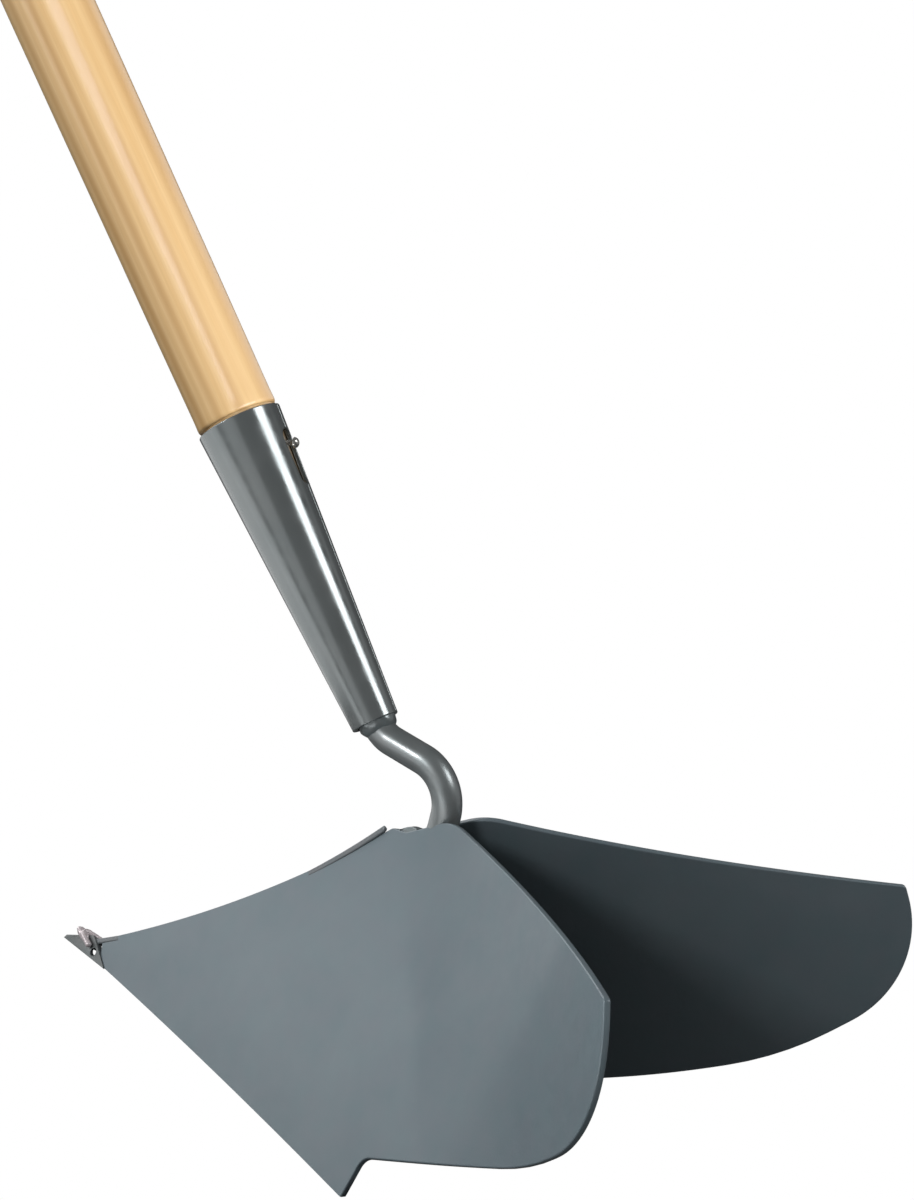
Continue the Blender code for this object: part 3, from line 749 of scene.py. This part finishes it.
def make_nose():
    """The folded point, hollow below, with the round gap at the foot of the joint."""
    back_x = JOINT_FOOT_X + NOSE_OVERLAP
    half_width = NOSE_HALF_WIDTH * back_x / JOINT_FOOT_X
    height = NOSE_HEIGHT * back_x / JOINT_FOOT_X
    nose = draft_object(wedge_mesh(0, back_x, half_width, height, 0))
    hollow = draft_object(wedge_mesh(
        3 * NOSE_WALL, back_x + HOLLOW_RUN_OUT, half_width - NOSE_WALL, height - 2 * NOSE_WALL,
        -NOSE_WALL))
    centre = at(*joint_point(JOINT_GAP_HEIGHT)) - Vector((JOINT_GAP_AHEAD, 0, 0))
    reach = Vector((0, 2 * NOSE_HALF_WIDTH, 0))
    gap = draft_object(curve_mesh(
        [centre - reach, centre + reach], bevel_depth=GAP_RADIUS_SEEN, bevel_resolution=10,
        use_fill_caps=True))
    for other in (hollow, gap):
        step = nose.modifiers.new("cut", "BOOLEAN")
        step.object = other
        step.solver = "EXACT"
    edge = nose.modifiers.new("edge", "BEVEL")
    edge.width = NOSE_EDGE
    edge.segments = 3
    edge.limit_method = "ANGLE"
    edge.angle_limit = math.radians(35)
    bpy.context.view_layer.update()
    graph = bpy.context.evaluated_depsgraph_get()
    mesh = bpy.data.meshes.new_from_object(nose.evaluated_get(graph), depsgraph=graph)
    for draft in (nose, hollow, gap):
        bpy.data.objects.remove(draft, do_unlink=True)
    bm = bmesh.new()
    bm.from_mesh(mesh)
    bpy.data.meshes.remove(mesh)
    face_all(bm)
    place, normal = joint_plane()
    cut(bm, place - normal * NOSE_LAP, -normal)
    bm.verts.layers.float_vector.remove(bm.verts.layers.float_vector["facing"])
    bm.faces.layers.int.remove(bm.faces.layers.int["cap"])
    piece_from(bm, "nose_tip", NOSE_PAINT, "painted_steel", ["nose_point"])


def make_nose_weld():
    """The V-shaped bead over the joint, its top filled with a lump down to the nose."""
    foot_height = JOINT_GAP_HEIGHT + JOINT_GAP_RADIUS
    top = Vector((NOSE_WELD_TOP[0], 0, NOSE_WELD_TOP[1]))
    corners = [
        (joint_point(foot_height, -1, NOSE_WELD_FOOT), 0), (top, NOSE_WELD_BEND),
        (joint_point(foot_height, 1, NOSE_WELD_FOOT), 0)]
    path = [at(*p) for p in rounded(corners, closed=False)]
    bm = bead_mesh(path, NOSE_WELD_RADIUS, pitch=0.0017, ripple=0.06, lumps=0.10)
    lie = Matrix.Rotation(math.radians(90) - JOINT_LEAN, 4, "Y")
    lump = blob_mesh(at(*NOSE_LUMP_CENTRE), NOSE_LUMP_RADII, lie, 0.06, 0.0012)
    draft = bpy.data.meshes.new("draft")
    lump.to_mesh(draft)
    lump.free()
    bm.from_mesh(draft)
    bpy.data.meshes.remove(draft)
    face_all(bm)
    # the bead's pale colour carries a painted highlight
    piece_from(bm, "nose_bead", PALE_WELD_AND_HIGHLIGHT, "weld_steel", ["nose_weld"])


AXIS_UP = Vector((-math.cos(AXIS_SLOPE), 0, math.sin(AXIS_SLOPE)))
AXIS_TOP = Vector((math.sin(AXIS_SLOPE), 0, math.cos(AXIS_SLOPE)))
AXIS_SIDE = AXIS_UP.cross(AXIS_TOP)
SEAM_SIDE = 1 if AXIS_SIDE.y > 0 else -1


def axis_frame(height):
    foot = at(SOCKET_END[0], 0, SOCKET_END[1]) + AXIS_UP * height
    turn = Matrix((AXIS_TOP, AXIS_SIDE, AXIS_UP)).transposed().to_4x4()
    return Matrix.Translation(foot) @ turn


def seam_frame(height):
    return axis_frame(height) @ Matrix.Rotation(SEAM_SIDE * SEAM_ANGLE, 4, "Z")


def make_neck():
    """The bent bar, a little uneven from the bending, ground to the V between the wings."""
    start = Vector((SOCKET_END[0], 0, SOCKET_END[1])) + AXIS_UP * NECK_INSIDE
    corners = [(start, 0)]
    corners += [(Vector((x, 0, z)), radius) for x, z, radius in NECK_CORNERS]
    corners.append((Vector((NECK_END[0], 0, NECK_END[1])), 0))
    path = [at(*p) for p in evenly(rounded(corners, closed=False), 0.0008)]
    radii = [1 + 0.012 * noise.noise(p * 60) for p in path]
    bm = curve_mesh(
        path, radii=radii, bevel_depth=NECK_RADIUS, bevel_resolution=16, use_fill_caps=True)
    press_to_wings(bm, NECK_GRIND_TOP)
    face_all(bm)
    piece_from(bm, "neck_bar", NECK_PAINT, "painted_steel", ["neck"])


def blob_mesh(centre, radii, turn, bumps, size):
    """A lump of weld metal: an ellipsoid with an uneven skin."""
    bm = bmesh.new()
    bmesh.ops.create_uvsphere(bm, u_segments=64, v_segments=36, radius=1)
    for vert in bm.verts:
        place = vert.co.copy()
        flow = 1 - bumps + bumps * noise.noise(place * (max(radii) / size))
        vert.co = place * flow
    bm.transform(Matrix.Translation(centre) @ turn.to_4x4() @ Matrix.Diagonal((*radii, 1)))
    return bm


def make_front_weld():
    lie = Matrix.Rotation(-FRONT_WELD_SLOPE, 4, "Y")
    bm = blob_mesh(at(*FRONT_WELD_CENTRE), FRONT_WELD_RADII, lie, 0.05, 0.003)
    press_to_wings(bm, BLANK_HEIGHT)
    face_all(bm)
    piece_from(bm, "neck_bead_front", WELD_PAINT, "weld_steel", ["neck_weld_front"])


def make_fillet(name, side, node):
    start, end = (at(x, side * y, z) for x, y, z in (NECK_FILLET_TOP, NECK_FILLET_FOOT))
    bm = bead_mesh([start, end], NECK_FILLET_RADIUS, pitch=0.0024, ripple=0.08, lumps=0.06)
    press_to_wings(bm, BLANK_HEIGHT, (side,))
    face_all(bm)
    piece_from(bm, name, WELD_PAINT, "weld_steel", [node])


def make_socket_weld():
    turn = Matrix((AXIS_TOP, AXIS_SIDE, AXIS_UP)).transposed()
    centre = at(SOCKET_END[0], 0, SOCKET_END[1]) + AXIS_TOP * SOCKET_WELD_RISE
    radii = (WELD_RADIUS_SEEN, WELD_RADIUS_SEEN, WELD_REACH_SEEN)
    bm = blob_mesh(centre, radii, turn, 0.06, 0.0035)
    face_all(bm)
    cut(bm, at(SOCKET_END[0], 0, SOCKET_END[1]) + AXIS_UP * SOCKET_WELD_INSIDE, AXIS_UP)
    piece_from(bm, "socket_bead", WELD_PAINT, "weld_steel", ["socket_weld"])


# ---------------------------------------------------------------- socket, handle and screw


def socket_radius(height):
    return SOCKET_END_RADIUS + (SOCKET_RIM_RADIUS - SOCKET_END_RADIUS) * height / SOCKET_LENGTH


def make_socket():
    """Sheet steel rolled to a cone: the edges of the blank meet at the seam and open into
    the slot. In the flat blank x is the arc at the rim's radius and y the height."""
    slope = math.atan2(SOCKET_RIM_RADIUS - SOCKET_END_RADIUS, SOCKET_LENGTH)
    full = math.pi * SOCKET_RIM_RADIUS
    slot_top = SOCKET_LENGTH - SLOT_TOP
    slot_foot = slot_top - SLOT_LENGTH

    def edge(height, width):
        return full - width / 2 * SOCKET_RIM_RADIUS / socket_radius(height)

    half = [
        (edge(0, SEAM_WIDTH), 0, SEAM_CORNER),
        (edge(slot_foot, SEAM_WIDTH), slot_foot, SEAM_CORNER),
        (edge(slot_foot, SLOT_END_WIDTH), slot_foot, SLOT_END_WIDTH * 0.40),
        (edge(slot_top, SLOT_WIDTH), slot_top, SLOT_WIDTH * 0.42),
        (edge(slot_top, SEAM_WIDTH), slot_top, SEAM_CORNER),
        (edge(SOCKET_LENGTH, SEAM_WIDTH), SOCKET_LENGTH, SEAM_CORNER)]
    corners = [(Vector((x, y, 0)), radius) for x, y, radius in half]
    corners += [(Vector((-x, y, 0)), radius) for x, y, radius in reversed(half)]
    outline = rounded(corners, closed=True, step=math.radians(9))
    bm = curve_mesh(
        outline, closed=True, flat=True, fill_mode="BOTH", extrude=SOCKET_WALL / 2 - SOCKET_EDGE,
        bevel_depth=SOCKET_EDGE, bevel_resolution=3, offset=-SOCKET_EDGE)
    face_all(bm, flat_or_round(SOCKET_WALL / 2))
    into_strips(bm, -full, full, SOCKET_STRIPS)
    layer = bm.verts.layers.float_vector["facing"]
    for vert in bm.verts:
        x, height, depth = vert.co
        angle = math.pi + x / SOCKET_RIM_RADIUS
        radial = Vector((math.cos(angle), math.sin(angle), 0))
        around = Vector((-math.sin(angle), math.cos(angle), 0))
        out = radial * math.cos(slope) - Vector((0, 0, math.sin(slope)))
        along = radial * math.sin(slope) + Vector((0, 0, math.cos(slope)))
        facing = Vector(vert[layer])
        vert[layer] = around * facing.x + along * facing.y + out * facing.z
        radius = socket_radius(height) + depth - SOCKET_WALL / 2
        vert.co = radial * radius + Vector((0, 0, height))
    bmesh.ops.recalc_face_normals(bm, faces=bm.faces)
    piece_from(bm, "socket_cone", SOCKET_PAINT, "socket_steel", ["socket"], seam_frame(0))


def make_handle():
    """The turned pole: seat, shoulder, a gentle taper and a rounded butt."""
    seat_foot = SOCKET_LENGTH - HANDLE_SEAT
    top = seat_foot + HANDLE_LENGTH
    shoulder = SOCKET_LENGTH + SHOULDER_RISE
    inside = SOCKET_WALL + SEAT_CLEARANCE
    profile = [(0, seat_foot), (socket_radius(seat_foot) - inside, seat_foot)]
    profile += [(socket_radius(SOCKET_LENGTH) - inside, shoulder)]
    for i in range(5):
        turn = math.radians(90 * i / 4)
        profile.append((
            HANDLE_FOOT_RADIUS - SHOULDER_BEVEL * (1 - math.sin(turn)) * 0.8,
            shoulder + SHOULDER_BEVEL * (1 - math.cos(turn))))
    height = shoulder + SHOULDER_BEVEL + TURNING_MARGIN
    while height < top - BUTT_RADIUS - TURNING_MARGIN:
        rise = min(1, (height - shoulder) / HANDLE_TAPER)
        radius = HANDLE_FOOT_RADIUS + (HANDLE_RADIUS - HANDLE_FOOT_RADIUS) * rise
        uneven = 1 + noise.noise(Vector((height / TURNING_WAVE, 0, 0)))
        profile.append((radius - TURNING_DEPTH * uneven, height))
        height += TURNING_STEP
    for i in range(11):
        angle = math.radians(9 * i)
        profile.append((
            HANDLE_RADIUS - BUTT_RADIUS * (1 - math.cos(angle)),
            top - BUTT_RADIUS * (1 - math.sin(angle))))
    profile.append((0, top))
    bm = turned_mesh(profile, 96)
    ash = varnished_ash("ash", axis_frame(0))
    piece_from(bm, "ash_handle", ash, "ash_pole", ["handle"], axis_frame(0))


def screw_frame():
    height = SOCKET_LENGTH - SCREW_DEPTH
    seat = socket_radius(height) - SOCKET_WALL - SEAT_CLEARANCE
    foot = Matrix.Translation((seat, 0, 0))
    lean = Matrix.Rotation(math.radians(90) + SCREW_SLANT, 4, "Y")
    return seam_frame(height) @ foot @ lean


def make_screw():
    """The round-headed screw, askew in the slot, with its threaded shank in the pole."""
    top = SCREW_STANDOFF
    profile = [(0, top + SCREW_HEAD_HEIGHT)]
    for i in range(1, 10):
        angle = math.radians(90 - 10 * i)
        profile.append((
            SCREW_HEAD_RADIUS * math.cos(angle), top + SCREW_HEAD_HEIGHT * math.sin(angle)))
    profile += [(SCREW_HEAD_RADIUS * 0.95, top - 0.0001), (SCREW_SHANK_RADIUS + 0.0002, top)]
    height, crest = top - THREAD_STEP, True
    while height > SCREW_POINT - SCREW_INSIDE:
        depth = 0 if crest else THREAD_DEPTH
        profile.append((SCREW_SHANK_RADIUS - depth, height))
        height -= THREAD_STEP
        crest = not crest
    profile.append((0, -SCREW_INSIDE))
    bm = turned_mesh(profile, 40)
    piece_from(bm, "round_screw", PLATED, "bright_steel", ["handle_screw"], screw_frame())


# ---------------------------------------------------------------- camera, floor and light

CAMERA_AIM = (0.1445, 0.0, 0.2089)
CAMERA_DISTANCE = 1.586
CAMERA_AZIMUTH = math.radians(31.87)
CAMERA_ELEVATION = math.radians(19.6)
CAMERA_ROLL = math.radians(13.7)
CAMERA_LENS = 127.2


def make_camera():
    data = bpy.data.cameras.new("camera")
    data.lens = CAMERA_LENS
    data.sensor_width = 36
    data.clip_start = 0.05
    data.clip_end = 60
    camera = bpy.data.objects.new("camera", data)
    STUDIO.collection.objects.link(camera)
    back = Vector((
        math.sin(CAMERA_AZIMUTH) * math.cos(CAMERA_ELEVATION),
        -math.cos(CAMERA_AZIMUTH) * math.cos(CAMERA_ELEVATION),
        math.sin(CAMERA_ELEVATION)))
    level = (-back).to_track_quat("-Z", "Y").to_matrix().to_4x4()
    roll = Matrix.Rotation(CAMERA_ROLL, 4, "Z")
    place = Matrix.Translation(at(*CAMERA_AIM) + back * CAMERA_DISTANCE)
    camera.matrix_world = place @ level @ roll
    STUDIO.camera = camera


def panel(name, place, facing, size, power, lit):
    """A soft light at this place, facing this way, that lights one group of objects."""
    data = bpy.data.lights.new(name, "AREA")
    data.shape = "RECTANGLE"
    data.size, data.size_y = size
    data.energy = power
    lamp = bpy.data.objects.new(name, data)
    STUDIO.collection.objects.link(lamp)
    lamp.location = place
    lamp.rotation_mode = "QUATERNION"
    lamp.rotation_quaternion = facing.to_track_quat("-Z", "Y")
    lamp.visible_camera = False
    lamp.light_linking.receiver_collection = lit


# name, direction seen from the head, distance, size, watts on the steel and on the pole
SOFTBOXES = [
    ("key", (0.583, 0.2, 0.79), 2.2, 0.9, 15.1, 1.9),
    ("front_strip", (-0.43, -0.81, 0.40), 2.4, 0.45, 17.9, 0),
    ("left", (-0.95, -0.30, 0.085), 2.6, 2.0, 0, 40),
    ("left_front", (-0.75, -0.66, 0.05), 2.6, 2.0, 23.2, 28),
    ("front", (-0.1, -1, 0.15), 2.6, 2.0, 4.6, 0),
    ("at_camera", (0.5, -0.8, 0.33), 2.6, 1.0, 0, 10.7),
    ("above_camera", (0.15, -0.6, 0.75), 2.6, 1.0, 0, 20.7),
    ("rear", (0.95, -0.1, 0.3), 2.6, 2.0, 0, 80),
    ("rear_right", (0.7, 0.7, 0.3), 2.6, 2.0, 3.0, 10),
    ("right", (0, 1, 0.3), 2.6, 2.0, 0, 11.7),
    ("nose_side", (-1, 0.25, 0.35), 2.6, 2.0, 23.7, 0),
]
# name, middle on the ground in the head frame, size, watts on the steel
FLOOR_PANELS = [
    ("floor_left", (-0.30, -0.12), (0.5, 0.5), 0.6),
    ("floor_front", (-0.25, -0.60), (0.6, 0.5), 0.7),
    ("floor_side", (0.25, -0.60), (0.5, 0.5), 2.2),
]
FLOOR_PANEL_HEIGHT = 0.004
HEAD_MIDDLE = (0.14, 0, 0.12)


def make_lights():
    middle = at(*HEAD_MIDDLE)
    for name, towards, distance, size, on_steel, on_pole in SOFTBOXES:
        way = Vector(towards).normalized()
        for group, power, lit in (("steel", on_steel, STEEL), ("pole", on_pole, WOOD)):
            if power:
                place = middle + way * distance
                panel(f"{name}_{group}", place, -way, (size, size), power, lit)
    for name, (x, y), size, power in FLOOR_PANELS:
        panel(name, at(x, y, FLOOR_PANEL_HEIGHT), Vector((0, 0, 1)), size, power, STEEL)


def white_to_camera(tree, seen, unseen, output):
    """Show one shader to the camera and the other to light and reflections."""
    path = tree.nodes.new("ShaderNodeLightPath")
    mix = tree.nodes.new("ShaderNodeMixShader")
    tree.links.new(path.outputs["Is Camera Ray"], mix.inputs["Fac"])
    tree.links.new(unseen, mix.inputs[1])
    tree.links.new(seen, mix.inputs[2])
    tree.links.new(mix.outputs["Shader"], tree.nodes[output].inputs["Surface"])


def make_floor():
    bpy.ops.mesh.primitive_plane_add(size=24)
    floor = bpy.context.object
    floor.name = "studio_floor"
    paper = bpy.data.materials.new("studio_paper")
    paper.use_nodes = True
    tree = paper.node_tree
    shader = tree.nodes["Principled BSDF"]
    shader.inputs["Base Color"].default_value = (0.10, 0.10, 0.10, 1)
    shader.inputs["Roughness"].default_value = 0.9
    shader.inputs["Specular IOR Level"].default_value = 0.1
    white = tree.nodes.new("ShaderNodeEmission")
    white.inputs["Color"].default_value = (1, 1, 1, 1)
    white_to_camera(
        tree, white.outputs["Emission"], shader.outputs["BSDF"], "Material Output")
    floor.data.materials.append(paper)
    STEEL.objects.link(floor)


def make_world():
    world = bpy.data.worlds.new("studio")
    STUDIO.world = world
    world.use_nodes = True
    air = world.node_tree
    seen = air.nodes["Background"]
    seen.inputs["Color"].default_value = (1, 1, 1, 1)
    seen.inputs["Strength"].default_value = 1
    dim = air.nodes.new("ShaderNodeBackground")
    dim.inputs["Color"].default_value = (1, 1, 1, 1)
    dim.inputs["Strength"].default_value = 0.10
    white_to_camera(
        air, seen.outputs["Background"], dim.outputs["Background"], "World Output")


make_camera()
make_wing("left_plate", -1, "left_wing")
make_wing("right_plate", 1, "right_wing")
make_shin_weld()
make_nose()
make_nose_weld()
make_neck()
make_front_weld()
make_fillet("neck_bead_left", -1, "neck_weld_left")
make_fillet("neck_bead_right", 1, "neck_weld_right")
make_socket()
make_handle()
make_screw()
make_socket_weld()
make_floor()
make_world()
make_lights()
STUDIO.view_settings.view_transform = "Standard"
